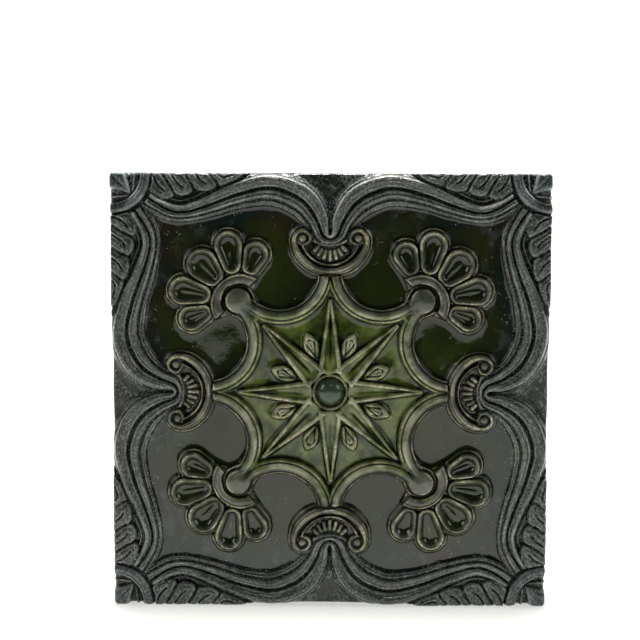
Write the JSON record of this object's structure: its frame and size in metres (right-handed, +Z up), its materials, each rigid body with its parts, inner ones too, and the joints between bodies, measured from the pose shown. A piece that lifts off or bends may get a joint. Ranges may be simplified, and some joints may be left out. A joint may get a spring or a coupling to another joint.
{
  "type": "relief azulejo tile",
  "caption": "Square wall tile in dark green glazed earthenware, pressed with a deep relief of a star, shells, scrolls and a ribbon border.",
  "frame": {"origin": "centre of the flat back, where the tile meets the wall", "axes": "+Y from the face into the wall, so the relief faces -Y; +Z up; +X to the right of someone facing the tile"},
  "size_m": [0.14, 0.0137, 0.14],
  "materials": {
    "green_glaze": "thick, glossy, dark bottle-green glaze"
  },
  "bodies": {
    "root": {"tile": "green_glaze"}
  },
  "joints": []
}
